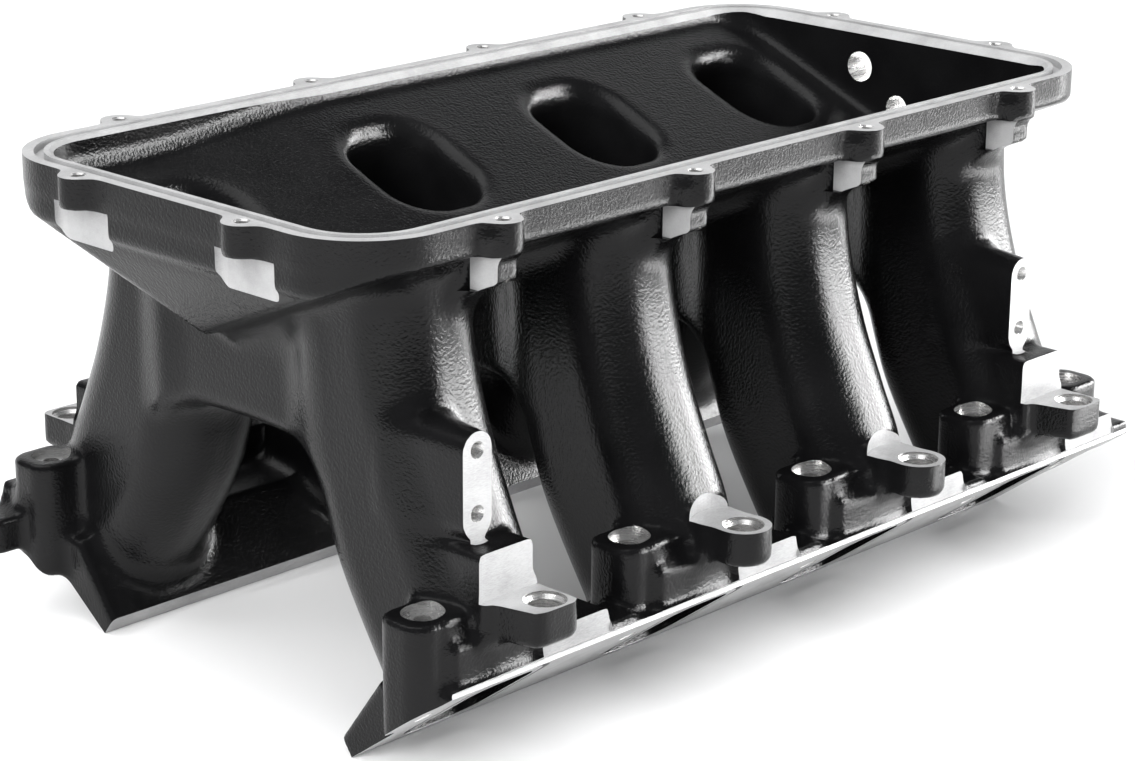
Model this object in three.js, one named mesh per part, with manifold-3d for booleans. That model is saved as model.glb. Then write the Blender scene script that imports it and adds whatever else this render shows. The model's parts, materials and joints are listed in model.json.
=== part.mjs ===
// Lower casting of a two-piece tunnel-ram intake manifold for a 90-degree V8, with its port seals.
//
// Frame: millimetres, +Z up, origin under the middle of the part at the level of the head flanges'
// lowest edges. +X runs towards the rear of the engine, -Y is the left bank, +Y the right bank.
// The right bank is the left bank turned half a revolution about Z, as both cylinder heads are alike.
//
// The one casting is divided at its natural changes of section into separate bodies, SEAM apart, so
// that every passage, saddle and gap between the runners stays open.
import * as THREE from 'three';
import { mergeVertices } from 'three/addons/utils/BufferGeometryUtils.js';
import Module from 'manifold-3d';

const wasm = await Module();
wasm.setup();

// ---------------------------------------------------------------- driving dimensions
const HEIGHT = 209.4; // rim face above the lowest edge of the head flanges
const SEAM = 0.3; // gap between neighbouring bodies
const BEYOND = 400; // further out than any part of the body
const BORE_SPACING = 111.76; // cylinder pitch of the engine
const CYLINDERS = 4; // runners on each bank

const RIM_HALF_X = 228.4;
const RIM_HALF_Y = 110.6;
const RIM_CORNER = 38;
const WALL = 12; // width of the rim face
const RIM_DEPTH = 13; // height of the rim and of its lugs
const GROOVE_INSET = 4.2; // outer edge of the rim to the O-ring groove
const GROOVE_WIDTH = 4;
const GROOVE_DEPTH = 3;

const LUG_RADIUS = 7.7;
const LUG_HOLE = 2.75; // radius
const LUG_OFFSET = 2.6; // lug axis outside the rim's edge on the long sides
const LUG_PITCH = 105.8; // along the long sides
const LUG_END_X = 229.3; // lug axes on the short sides
const LUG_END_Y = 48.7;
const LUG_FLARE = 16; // half width of a lug's root
const LUG_WEB_HALF = 5.6; // the web under a long-side lug
const LUG_WEB_OUT = 5.4; // how far the web stands out of the rim
const LUG_WEB_IN = 22; // from the rim's outer edge inwards
const LUG_WEB_DROP = 22.5; // depth of the web's outer lower edge

const SKIRT_DEPTH = 25; // depth of the upright front wall
const REAR_SKIRT_DEPTH = 50; // the rear wall, which carries two threaded ports, is deeper
const KEEL_DEPTH = 59; // depth of the keel under the plenum
const KEEL_FRONT_X = -209;
const KEEL_REAR_X = 224;
const FLOOR_RISE = 0.42; // slope of the V-shaped floor
const FLOOR_DEPTH = 52.5; // depth of the floor at the middle, inside
const POCKET_HALF = 16.8; // machined pockets under the end lugs
const POCKET_DEPTH = 4;

const FACE_ANGLE = 36.5; // head face from horizontal, degrees
const FACE_INNER_Y = 82.6; // lowest edge of the head face
const FACE_REACH = 90; // past every edge of the head face
const RUNNER_STOP = 4; // lift of the runners' ends, inside the flange's thickness
const FLANGE_THICK = 8.7;
const FLANGE_WIDTH = 68; // along the slope
const FLANGE_START_X = -209.9;
const FLANGE_END_X = 200;
const RAIL_INNER = [98, 173]; // crest of the thick rail along the bolts, [out, depth]
const RAIL_OUTER = [134, 167];
const EAR_START = 7; // machined ears beside the injectors, from the runner's axis
const EAR_END = 44;
const EAR_OUT_Y = 140;
const EAR_IN_Y = 125;
const EAR_DEPTH = 154.5;
const PORT_X = -172.2; // first runner of the left bank
const PORT_WIDTH = 32;
const PORT_HEIGHT = 50; // along the slope
const PORT_CENTRE = 37; // along the slope, from the lowest edge
const PORT_RADIUS = 9;
const SEAL_LAND = 3.5; // port edge to seal groove
const SEAL_WIDTH = 3;
const SEAL_GROOVE_DEPTH = 3;

const RUNNER_WIDTH = 54;
const RUNNER_RADIUS = 24;

const BOLT_X = -206.5; // first head bolt of the left bank
const BOLT_Y = 119.4;
const BOLT_LAST_X = 196.5; // fifth head bolt
const BOLT_DEPTH = 140; // top of a boss below the rim
const BOSS_HALF = 14; // along the engine
const BOSS_IN_Y = 107;
const BOSS_OUT_Y = 132;
const BOSS_CORNER = 9;
const BOLT_HOLE = 3.5; // radius
const COUNTERBORE = 8.4; // radius
const COUNTERBORE_DEPTH = 2.5;

const INJECTOR_Y = 148.9;
const INJECTOR_DEPTH = 136;
const INJECTOR_BORE = 6.8; // radius
const INJECTOR_MOUTH = 8.4; // radius
const INJECTOR_BORE_LENGTH = 13;
const PAD_IN_Y = 135.5; // upright wall behind the pad
const PAD_OUT_Y = 160.4;
const PAD_ROOT_Y = 112; // the pad's hidden root in the runner's side
const PAD_THICK = 16;
const PAD_NOSE = 11.5; // radius of the round pads round the bore
const PAD_FRONT = 19; // wedge-shaped pads of the end cylinders, ahead of the runner's axis
const PAD_REAR = 9.2; // and behind it
const PAD_CHAMFER = 3;
const PAD_STEM = [-17, 6]; // the body under a pad, from the runner's axis
const PAD_STEM_OUT_Y = 138;
const STEM_DEPTH = 175;
const WALL_TOP = 117; // end cylinders: the block above the pad
const WALL_SPAN = [-20, 7];

const STAND_OFFSET = 12.7; // stand axis ahead of its runner's axis
const STAND_CYLINDERS = [0, 3];
const STAND_Y = 126.3;
const STAND_ROOT_Y = 92; // the stand's hidden root in the runner's side
const STAND_HALF = 7.4;
const STAND_TOP = 73;
const STAND_BOTTOM = 114.5;
const STAND_HOLES = [80.2, 105];
const STAND_HOLE_RADIUS = 3;
const STAND_HOLE_DEPTH = 9;

const WEB_TOP = 30; // the web's hidden root in the tray
const WEB_ARCH_DEPTH = 99; // crown of the arch between opposite runners
const WEB_ARCH_RISE = 4; // the arch falls this far towards the runners
const WEB_REACH = 50; // across the engine, into the runners
const WEB_HALF = 24;

// Threaded ports in the rear wall.
const REAR_PORTS = [
  { y: 19.6, depth: 18.9, radius: 7.6 },
  { y: -3.5, depth: 35.6, radius: 6.4 },
];

// Runner centre plane: each station gives the inner and the outer wall as [distance from the
// middle, depth below the rim]. The section turns from level at the plenum to the head face's slope.
const RUNNER_STATIONS = [
  { inner: [26, 12], outer: [96, 12] },
  { inner: [34.5, 58], outer: [98, 50] },
  { inner: [37.5, 98], outer: [107, 84] },
  { inner: [46, 129], outer: [119, 112] },
  { inner: [58, 155], outer: [130, 136] },
];
// Passage inside the runner, from the plenum floor to the port.
const PASSAGE_STATIONS = [
  { inner: [20, 20], outer: [74, 4], width: 46 },
  { inner: [26, 62], outer: [78, 32], width: 42 },
  { inner: [44, 97], outer: [98, 84], width: 41 },
  { inner: [54, 130], outer: [110, 113], width: 38 },
];

const STEEP = THREE.MathUtils.degToRad(FACE_ANGLE);
const CORNER_STEPS = 3;

// ---------------------------------------------------------------- materials
const castBlack = new THREE.MeshStandardMaterial({ color: 0x141415, roughness: 0.42, metalness: 0.0 });
const sealRubber = new THREE.MeshStandardMaterial({ color: 0x2a2a2d, roughness: 0.75, metalness: 0.0 });

// ---------------------------------------------------------------- solids and booleans
function toSolid(geometry) {
  const bare = geometry.clone();
  bare.deleteAttribute('normal');
  bare.deleteAttribute('uv');
  const merged = mergeVertices(bare, 1e-4);
  const vertProperties = new Float32Array(merged.attributes.position.array);
  const triVerts = new Uint32Array(merged.index.array);
  return new wasm.Manifold(new wasm.Mesh({ numProp: 3, vertProperties, triVerts }));
}

function toGeometry(solid) {
  const mesh = solid.getMesh();
  const geometry = new THREE.BufferGeometry();
  const count = mesh.vertProperties.length / mesh.numProp;
  const position = new Float32Array(count * 3);
  for (let i = 0; i < count; i += 1) {
    for (let axis = 0; axis < 3; axis += 1) {
      position[3 * i + axis] = mesh.vertProperties[i * mesh.numProp + axis];
    }
  }
  geometry.setAttribute('position', new THREE.BufferAttribute(position, 3));
  geometry.setIndex(new THREE.BufferAttribute(new Uint32Array(mesh.triVerts), 1));
  return geometry;
}

function cutAll(solid, cutters) {
  return cutters.reduce((left, cutter) => left.subtract(cutter), solid);
}

function joinAll(solids) {
  return solids.reduce((sum, solid) => sum.add(solid));
}

// A level shape between two heights.
function upright(shape, zLow, zHigh) {
  const geometry = new THREE.ExtrudeGeometry(shape, { depth: zHigh - zLow, bevelEnabled: false });
  geometry.translate(0, 0, zLow);
  return toSolid(geometry);
}

// A (y, z) outline swept along X.
function alongX(points, xLow, xHigh) {
  const shape = new THREE.Shape(points.map(([y, z]) => new THREE.Vector2(y, z)));
  const geometry = new THREE.ExtrudeGeometry(shape, { depth: xHigh - xLow, bevelEnabled: false });
  const turn = new THREE.Matrix4().set(0, 0, 1, xLow, 1, 0, 0, 0, 0, 1, 0, 0, 0, 0, 0, 1);
  geometry.applyMatrix4(turn);
  return toSolid(geometry);
}

// An (x, z) outline swept along Y.
function alongY(points, yLow, yHigh) {
  const shape = new THREE.Shape(points.map(([x, z]) => new THREE.Vector2(x, z)));
  const geometry = new THREE.ExtrudeGeometry(shape, { depth: yHigh - yLow, bevelEnabled: false });
  const turn = new THREE.Matrix4().set(1, 0, 0, 0, 0, 0, -1, yHigh, 0, 1, 0, 0, 0, 0, 0, 1);
  geometry.applyMatrix4(turn);
  return toSolid(geometry);
}

function block(xLow, xHigh, yLow, yHigh, zLow, zHigh) {
  const geometry = new THREE.BoxGeometry(xHigh - xLow, yHigh - yLow, zHigh - zLow);
  geometry.translate((xLow + xHigh) / 2, (yLow + yHigh) / 2, (zLow + zHigh) / 2);
  return toSolid(geometry);
}

function post(x, y, radius, zLow, zHigh, segments = 12) {
  const geometry = new THREE.CylinderGeometry(radius, radius, zHigh - zLow, segments);
  geometry.rotateX(Math.PI / 2);
  geometry.translate(x, y, (zLow + zHigh) / 2);
  return toSolid(geometry);
}

function roundedPoints(halfX, halfY, radius, steps = CORNER_STEPS) {
  const points = [];
  const corners = [[1, -1, -0.5], [1, 1, 0], [-1, 1, 0.5], [-1, -1, 1]];
  for (const [sx, sy, start] of corners) {
    for (let k = 0; k <= steps; k += 1) {
      const angle = (start + (0.5 * k) / steps) * Math.PI;
      const x = sx * (halfX - radius) + radius * Math.cos(angle);
      const y = sy * (halfY - radius) + radius * Math.sin(angle);
      points.push(new THREE.Vector2(x, y));
    }
  }
  return points;
}

function roundedRect(halfX, halfY, radius, steps = CORNER_STEPS) {
  return new THREE.Shape(roundedPoints(halfX, halfY, radius, steps));
}

// A closed skin over equal-length rings of points, listed along the loft.
function loft(rings) {
  const count = rings[0].length;
  const position = rings.flat().flatMap((p) => [p.x, p.y, p.z]);
  const index = [];
  for (let r = 0; r + 1 < rings.length; r += 1) {
    for (let i = 0; i < count; i += 1) {
      const a = r * count + i;
      const b = r * count + ((i + 1) % count);
      index.push(a, b, b + count, a, b + count, a + count);
    }
  }
  const last = (rings.length - 1) * count;
  for (let i = 1; i + 1 < count; i += 1) {
    index.push(0, i + 1, i);
    index.push(last, last + i, last + i + 1);
  }
  const geometry = new THREE.BufferGeometry();
  geometry.setAttribute('position', new THREE.Float32BufferAttribute(position, 3));
  geometry.setIndex(index);
  const solid = toSolid(geometry);
  if (solid.volume() > 0) {
    return solid;
  }
  geometry.setIndex(index.toReversed());
  return toSolid(geometry);
}

// ---------------------------------------------------------------- left bank construction
// A point on the left bank from its distance out of the middle and its depth below the rim.
function leftPoint(x, [out, depth]) {
  return new THREE.Vector3(x, -out, HEIGHT - depth);
}

// A point of the head face, along the slope from its lowest edge and lifted square to it.
function faceAt(slope, lift) {
  const out = FACE_INNER_Y + slope * Math.cos(STEEP) - lift * Math.sin(STEEP);
  const depth = HEIGHT - slope * Math.sin(STEEP) - lift * Math.cos(STEEP);
  return [out, depth];
}

// One ring of a runner: a rounded rectangle between its inner and its outer wall.
function ring(x, station, width, radius, grow, steps = CORNER_STEPS) {
  const inner = leftPoint(0, station.inner);
  const outer = leftPoint(0, station.outer);
  const middle = inner.clone().add(outer).multiplyScalar(0.5);
  const across = outer.clone().sub(inner);
  const halfAcross = across.length() / 2 + grow;
  across.normalize();
  const halfWidth = width / 2 + grow;
  const corner = Math.min(radius + grow, halfAcross - 1, halfWidth - 1);
  const loop = roundedPoints(halfWidth, halfAcross, corner, steps);
  return loop.map((p) => new THREE.Vector3(x + p.x, 0, 0).add(middle).addScaledVector(across, p.y));
}

function runnerOuter(x, grow) {
  const end = { inner: faceAt(9, FLANGE_THICK), outer: faceAt(68, FLANGE_THICK) };
  const past = { inner: faceAt(9, 0), outer: faceAt(68, 0) };
  const stations = [...RUNNER_STATIONS, end, past];
  return loft(stations.map((s) => ring(x, s, RUNNER_WIDTH, RUNNER_RADIUS, grow)));
}

function passage(x) {
  const half = PORT_HEIGHT / 2;
  const port = (lift) => ({
    inner: faceAt(PORT_CENTRE - half, lift), outer: faceAt(PORT_CENTRE + half, lift), width: PORT_WIDTH,
  });
  const stations = [...PASSAGE_STATIONS, port(FLANGE_THICK), port(-1)];
  return loft(stations.map((s) => ring(x, s, s.width, s.width === PORT_WIDTH ? PORT_RADIUS : 17, 0)));
}

// Everything on the head's side of a plane parallel to the head face.
function faceSlab(liftLow, liftHigh, slopeLow, slopeHigh, xLow, xHigh) {
  const corner = (slope, lift) => {
    const [out, depth] = faceAt(slope, lift);
    return [-out, HEIGHT - depth];
  };
  const outline = [
    corner(slopeLow, liftLow), corner(slopeLow, liftHigh),
    corner(slopeHigh, liftHigh), corner(slopeHigh, liftLow),
  ];
  return alongX(outline, xLow, xHigh);
}

// A port-shaped prism square to the head face.
function portPrism(x, grow, liftLow, liftHigh) {
  const half = PORT_HEIGHT / 2 + grow;
  const rings = [liftLow, liftHigh].map((lift) => {
    const station = { inner: faceAt(PORT_CENTRE - half, lift), outer: faceAt(PORT_CENTRE + half, lift) };
    return ring(x, station, PORT_WIDTH + 2 * grow, PORT_RADIUS + grow, 0, 2);
  });
  return loft(rings);
}

const portXs = Array.from({ length: CYLINDERS }, (_, i) => PORT_X + i * BORE_SPACING);
const boltXs = [...Array.from({ length: CYLINDERS }, (_, i) => BOLT_X + i * BORE_SPACING), BOLT_LAST_X];
const turnHalf = (solid) => solid.rotate([0, 0, 180]);

// ---------------------------------------------------------------- plenum
const keelOutline = (drop, extra) => {
  const side = RIM_HALF_Y + 20;
  return [
    [0, HEIGHT - drop - extra], [side, HEIGHT - drop - extra + side * FLOOR_RISE],
    [side, HEIGHT + 5], [-side, HEIGHT + 5], [-side, HEIGHT - drop - extra + side * FLOOR_RISE],
  ];
};

function plenumOuter(grow) {
  const walls = upright(
    roundedRect(RIM_HALF_X + grow, RIM_HALF_Y + grow, RIM_CORNER + grow, 5), HEIGHT - KEEL_DEPTH - 5, HEIGHT,
  );
  const reach = RIM_HALF_X + 5;
  const bow = alongY([
    [-reach, HEIGHT + 5], [-reach, HEIGHT - SKIRT_DEPTH - grow],
    [-RIM_HALF_X + 2 - grow, HEIGHT - SKIRT_DEPTH - grow],
    [KEEL_FRONT_X - grow, HEIGHT - KEEL_DEPTH - 2 - grow],
    [KEEL_REAR_X + grow, HEIGHT - KEEL_DEPTH - 2 - grow],
    [RIM_HALF_X - 2 + grow, HEIGHT - REAR_SKIRT_DEPTH - grow],
    [reach, HEIGHT - REAR_SKIRT_DEPTH - grow], [reach, HEIGHT + 5],
  ], -RIM_HALF_Y - 10, RIM_HALF_Y + 10);
  const keel = alongX(keelOutline(KEEL_DEPTH, grow * 1.1), -RIM_HALF_X - 10, RIM_HALF_X + 10);
  return walls.intersect(bow).intersect(keel);
}

function plenumInner() {
  const hollow = upright(
    roundedRect(RIM_HALF_X - WALL, RIM_HALF_Y - WALL, RIM_CORNER - WALL, 5), HEIGHT - KEEL_DEPTH, HEIGHT + 1,
  );
  const floor = alongX(keelOutline(FLOOR_DEPTH, 0), -RIM_HALF_X, RIM_HALF_X);
  const low = HEIGHT - FLOOR_DEPTH - 4;
  const inside = RIM_HALF_X - WALL;
  const bow = alongY([
    [-inside - 1, HEIGHT + 2], [-inside - 1, HEIGHT - SKIRT_DEPTH + 5], [-inside + 15, low],
    [inside - 3, low], [inside + 1, HEIGHT - REAR_SKIRT_DEPTH + 5], [inside + 1, HEIGHT + 2],
  ], -RIM_HALF_Y, RIM_HALF_Y);
  return hollow.intersect(floor).intersect(bow);
}

function lugPlaces() {
  const places = [];
  for (const side of [-1, 1]) {
    for (let i = 0; i < 4; i += 1) {
      const y = side * (RIM_HALF_Y + LUG_OFFSET);
      places.push({ x: (i - 1.5) * LUG_PITCH, y, outward: [0, side] });
    }
    for (const y of [-LUG_END_Y, LUG_END_Y]) {
      places.push({ x: side * LUG_END_X, y, outward: [side, 0] });
    }
  }
  return places;
}

// A lug's plan: a round nose that flares into the rim's edge.
function lugShape({ x, y, outward }) {
  const [ox, oy] = outward;
  const local = (along, out) => new THREE.Vector2(x + ox * out - oy * along, y + oy * out + ox * along);
  const root = ox === 0 ? RIM_HALF_Y - Math.abs(y) : RIM_HALF_X - Math.abs(x);
  const nose = [];
  for (let i = 0; i <= 6; i += 1) {
    const angle = (i / 6) * Math.PI;
    nose.push(local(LUG_RADIUS * Math.cos(angle), LUG_RADIUS * Math.sin(angle)));
  }
  const shoulder = LUG_RADIUS + 2;
  return new THREE.Shape([
    local(LUG_FLARE, root - 2), local(LUG_FLARE, root), local(shoulder, root + 1.6), ...nose,
    local(-shoulder, root + 1.6), local(-LUG_FLARE, root), local(-LUG_FLARE, root - 2),
  ]);
}

function lugWeb({ x, y }) {
  const side = Math.sign(y);
  const out = RIM_HALF_Y + LUG_WEB_OUT;
  const inward = RIM_HALF_Y - LUG_WEB_IN;
  const drop = (out - inward) * FLOOR_RISE;
  const top = HEIGHT - RIM_DEPTH - SEAM;
  const outline = [
    [side * out, top], [side * out, HEIGHT - LUG_WEB_DROP],
    [side * inward, HEIGHT - LUG_WEB_DROP - drop], [side * inward, top],
  ];
  return alongX(side > 0 ? outline : outline.toReversed(), x - LUG_WEB_HALF, x + LUG_WEB_HALF);
}

function endPocket({ x, y, outward }) {
  const side = outward[0];
  const back = side * (RIM_HALF_X - POCKET_DEPTH);
  const front = side * (RIM_HALF_X + 3);
  const [low, high] = [Math.min(back, front), Math.max(back, front)];
  return block(low, high, y - POCKET_HALF, y + POCKET_HALF, HEIGHT - SKIRT_DEPTH - 8, HEIGHT - RIM_DEPTH);
}

const innerHollow = plenumInner();
const lugs = lugPlaces();
const sideLugs = lugs.filter((lug) => lug.outward[0] === 0);
const endLugs = lugs.filter((lug) => lug.outward[0] !== 0);
const leftPassages = portXs.map(passage);
const passages = [...leftPassages, ...leftPassages.map(turnHalf)];
const plenumBody = cutAll(plenumOuter(0), [innerHollow, ...endLugs.map(endPocket)]);

function rimFlange() {
  const above = block(-BEYOND, BEYOND, -BEYOND, BEYOND, HEIGHT - RIM_DEPTH, HEIGHT + 20);
  const nose = lugs.map((lug) => upright(lugShape(lug), HEIGHT - RIM_DEPTH, HEIGHT));
  const holes = lugs.map((lug) => post(lug.x, lug.y, LUG_HOLE, HEIGHT - RIM_DEPTH - 5, HEIGHT + 5, 8));
  const grooveOuter = upright(
    roundedRect(RIM_HALF_X - GROOVE_INSET, RIM_HALF_Y - GROOVE_INSET, RIM_CORNER - GROOVE_INSET, 5),
    HEIGHT - GROOVE_DEPTH, HEIGHT + 1,
  );
  const inset = GROOVE_INSET + GROOVE_WIDTH;
  const grooveInner = upright(
    roundedRect(RIM_HALF_X - inset, RIM_HALF_Y - inset, RIM_CORNER - inset, 5),
    HEIGHT - GROOVE_DEPTH - 1, HEIGHT + 2,
  );
  const body = joinAll([plenumBody.intersect(above), ...nose]);
  return cutAll(body, [innerHollow, ...holes, grooveOuter.subtract(grooveInner)]);
}

function plenumTray() {
  const below = block(-BEYOND, BEYOND, -BEYOND, BEYOND, 0, HEIGHT - RIM_DEPTH - SEAM);
  const webs = sideLugs.map(lugWeb);
  const ports = REAR_PORTS.map((p) => alongXPost(p.y, HEIGHT - p.depth, p.radius, 200, 240));
  const body = joinAll([plenumBody.intersect(below), ...webs.map((web) => web.subtract(innerHollow))]);
  return cutAll(body, [...passages, ...ports]);
}

function alongXPost(y, z, radius, xLow, xHigh) {
  const geometry = new THREE.CylinderGeometry(radius, radius, xHigh - xLow, 14);
  geometry.rotateZ(Math.PI / 2);
  geometry.translate((xLow + xHigh) / 2, y, z);
  return toSolid(geometry);
}

// ---------------------------------------------------------------- runners, flanges, bosses
const trayClearance = plenumOuter(SEAM);
const webClearance = joinAll(sideLugs.map((lug) => {
  const side = Math.sign(lug.y);
  const half = LUG_WEB_HALF + SEAM;
  const out = side * (RIM_HALF_Y + LUG_WEB_OUT + SEAM);
  const inward = side * (RIM_HALF_Y - LUG_WEB_IN - SEAM);
  const low = HEIGHT - LUG_WEB_DROP - (LUG_WEB_OUT + LUG_WEB_IN) * FLOOR_RISE - 1;
  return block(lug.x - half, lug.x + half, Math.min(out, inward), Math.max(out, inward), low, HEIGHT);
}));
const runnersGrown = portXs.map((x) => runnerOuter(x, SEAM));

// The flange's section: a plate on the head face that thickens outwards into the bolt rail.
function flangeSection(grow, xLow, xHigh) {
  const outline = [
    faceAt(-grow, 0), faceAt(-grow, FLANGE_THICK + grow), [RAIL_INNER[0] - grow, RAIL_INNER[1] - grow],
    [RAIL_OUTER[0] + grow, RAIL_OUTER[1] - grow], faceAt(FLANGE_WIDTH + grow, 0),
  ];
  return alongX(outline.map(([out, depth]) => [-out, HEIGHT - depth]), xLow, xHigh);
}

function flangeEar(x, grow) {
  const outer = (EAR_OUT_Y - FACE_INNER_Y) / Math.cos(STEEP);
  const inner = (EAR_IN_Y - FACE_INNER_Y) / Math.cos(STEEP);
  const outline = [
    [EAR_IN_Y, EAR_DEPTH - grow], [EAR_OUT_Y + grow, EAR_DEPTH - grow],
    faceAt(outer + grow, 0), faceAt(inner, 0),
  ];
  const points = outline.map(([out, depth]) => [-out, HEIGHT - depth]);
  return alongX(points, x + EAR_START - grow, x + EAR_END + grow);
}

const flangeClearance = joinAll([
  flangeSection(SEAM, -BEYOND, BEYOND),
  faceSlab(-FACE_REACH, RUNNER_STOP, -FACE_REACH, FLANGE_WIDTH + FACE_REACH, -BEYOND, BEYOND),
  ...portXs.map((x) => flangeEar(x, SEAM)),
]);

function runner(i) {
  return cutAll(runnerOuter(portXs[i], 0), [trayClearance, webClearance, leftPassages[i], flangeClearance]);
}

function headFlange() {
  const plate = joinAll([
    flangeSection(0, FLANGE_START_X, FLANGE_END_X), ...portXs.map((x) => flangeEar(x, 0)),
  ]);
  const bolts = boltXs.map((x) => post(x, -BOLT_Y, BOLT_HOLE, 0, HEIGHT, 10));
  const grooves = portXs.map((x) => {
    const outside = portPrism(x, SEAL_LAND + SEAL_WIDTH, -1, SEAL_GROOVE_DEPTH);
    return outside.subtract(portPrism(x, SEAL_LAND, -2, SEAL_GROOVE_DEPTH + 1));
  });
  return cutAll(plate, [...leftPassages, ...bolts, ...grooves]);
}

function portSeal(i) {
  const outside = portPrism(portXs[i], SEAL_LAND + SEAL_WIDTH - SEAM, 0.2, SEAL_GROOVE_DEPTH - SEAM);
  return outside.subtract(portPrism(portXs[i], SEAL_LAND + SEAM, -1, SEAL_GROOVE_DEPTH + 1));
}

// An upright column from a list of (x, out) points.
function column(points, zLow, zHigh) {
  return upright(new THREE.Shape(points.map(([x, out]) => new THREE.Vector2(x, -out))), zLow, zHigh);
}

function boltBoss(i) {
  const x = boltXs[i];
  const top = HEIGHT - BOLT_DEPTH;
  const middle = (BOSS_IN_Y + BOSS_OUT_Y) / 2;
  const plan = roundedPoints(BOSS_HALF, (BOSS_OUT_Y - BOSS_IN_Y) / 2, BOSS_CORNER);
  const body = column(plan.map((p) => [x + p.x, middle + p.y]).toReversed(), 0, top);
  const hole = post(x, -BOLT_Y, BOLT_HOLE, -1, top + 1, 10);
  const seat = post(x, -BOLT_Y, COUNTERBORE, top - COUNTERBORE_DEPTH, top + 1, 14);
  const last = i === CYLINDERS;
  const near = last ? portXs[i - 1] + RUNNER_WIDTH / 2 - 5 : portXs[i] - RUNNER_WIDTH / 2 + 5;
  const [low, high] = last ? [near - 40, near] : [near, near + 40];
  const runnerSide = block(low, high, -200, 0, 0, HEIGHT);
  return cutAll(body, [hole, seat, flangeClearance, runnerSide, ...runnersGrown]);
}

// The pad's plan: a blunt wedge on the end cylinders, a round nose on the others.
function padPlan(i) {
  const x = portXs[i];
  if (i === 0 || i === CYLINDERS - 1) {
    return [
      [x - PAD_FRONT, PAD_ROOT_Y], [x + PAD_REAR, PAD_ROOT_Y],
      [x + PAD_REAR, PAD_OUT_Y - PAD_CHAMFER], [x + PAD_REAR - PAD_CHAMFER, PAD_OUT_Y],
      [x - 10, PAD_OUT_Y - 1], [x - 13, PAD_OUT_Y - PAD_CHAMFER], [x - PAD_FRONT, PAD_IN_Y - 2],
    ];
  }
  const plan = [[x - PAD_NOSE, PAD_ROOT_Y], [x + PAD_NOSE, PAD_ROOT_Y]];
  for (let k = 0; k <= 6; k += 1) {
    const angle = (k / 6) * Math.PI;
    plan.push([x + PAD_NOSE * Math.cos(angle), INJECTOR_Y + PAD_NOSE * Math.sin(angle)]);
  }
  return plan;
}

function injectorBoss(i) {
  const x = portXs[i];
  const top = HEIGHT - INJECTOR_DEPTH;
  const pad = column(padPlan(i).toReversed(), top - PAD_THICK, top);
  const [stemLow, stemHigh] = PAD_STEM;
  const stem = block(
    x + stemLow, x + stemHigh, -PAD_STEM_OUT_Y, -PAD_ROOT_Y, HEIGHT - STEM_DEPTH, top - PAD_THICK / 2,
  );
  const parts = [pad, stem];
  if (i === 0 || i === CYLINDERS - 1) {
    const [low, high] = WALL_SPAN;
    parts.push(block(x + low, x + high, -PAD_IN_Y, -PAD_ROOT_Y, top - PAD_THICK, HEIGHT - WALL_TOP));
  }
  const bore = post(x, -INJECTOR_Y, INJECTOR_BORE, top - INJECTOR_BORE_LENGTH, top + 1, 14);
  const mouth = post(x, -INJECTOR_Y, INJECTOR_MOUTH, top - 2.5, top + 1, 16);
  return cutAll(joinAll(parts), [bore, mouth, flangeClearance, ...runnersGrown, ...bossKeepouts]);
}

const bossKeepouts = boltXs.map((x) => block(
  x - BOSS_HALF - SEAM, x + BOSS_HALF + SEAM, -BOSS_OUT_Y - SEAM, -BOSS_IN_Y + SEAM,
  0, HEIGHT - BOLT_DEPTH + SEAM,
));

function railStand(i) {
  const cylinder = STAND_CYLINDERS[i];
  const x = portXs[cylinder] - STAND_OFFSET;
  const halfTall = (STAND_BOTTOM - STAND_TOP) / 2;
  const middle = HEIGHT - (STAND_TOP + STAND_BOTTOM) / 2;
  const outline = roundedPoints(STAND_HALF, halfTall, STAND_HALF - 0.2, 3);
  const body = alongY(outline.map((p) => [x + p.x, middle + p.y]), -STAND_Y, -STAND_ROOT_Y);
  const holes = STAND_HOLES.map((depth) => {
    const geometry = new THREE.CylinderGeometry(
      STAND_HOLE_RADIUS, STAND_HOLE_RADIUS, STAND_HOLE_DEPTH * 2, 10,
    );
    geometry.translate(x, -STAND_Y, HEIGHT - depth);
    return toSolid(geometry);
  });
  return cutAll(body, [...holes, runnersGrown[cylinder]]);
}

function centreWeb(i) {
  const middle = (portXs[i] - portXs[CYLINDERS - 1 - i]) / 2;
  const top = HEIGHT - WEB_TOP;
  const arch = [[-WEB_REACH, top]];
  for (let k = -4; k <= 4; k += 1) {
    arch.push([(WEB_REACH * k) / 4, HEIGHT - WEB_ARCH_DEPTH - WEB_ARCH_RISE * (k / 4) ** 2]);
  }
  arch.push([WEB_REACH, top]);
  const body = alongX(arch, middle - WEB_HALF, middle + WEB_HALF);
  const across = runnersGrown.map(turnHalf);
  return cutAll(body, [trayClearance, runnersGrown[i], across[CYLINDERS - 1 - i]]);
}

// ---------------------------------------------------------------- scene graph
const group = new THREE.Group();

function addPart(name, solid, material) {
  const mesh = new THREE.Mesh(toGeometry(solid), material);
  mesh.name = name;
  group.add(mesh);
}

// Numbers run from the front on both banks.
function addPair(stem, count, build, material) {
  for (let i = 0; i < count; i += 1) {
    const solid = build(i);
    addPart(`${stem}_left_${i + 1}`, solid, material);
    addPart(`${stem}_right_${count - i}`, turnHalf(solid), material);
  }
}

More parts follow.
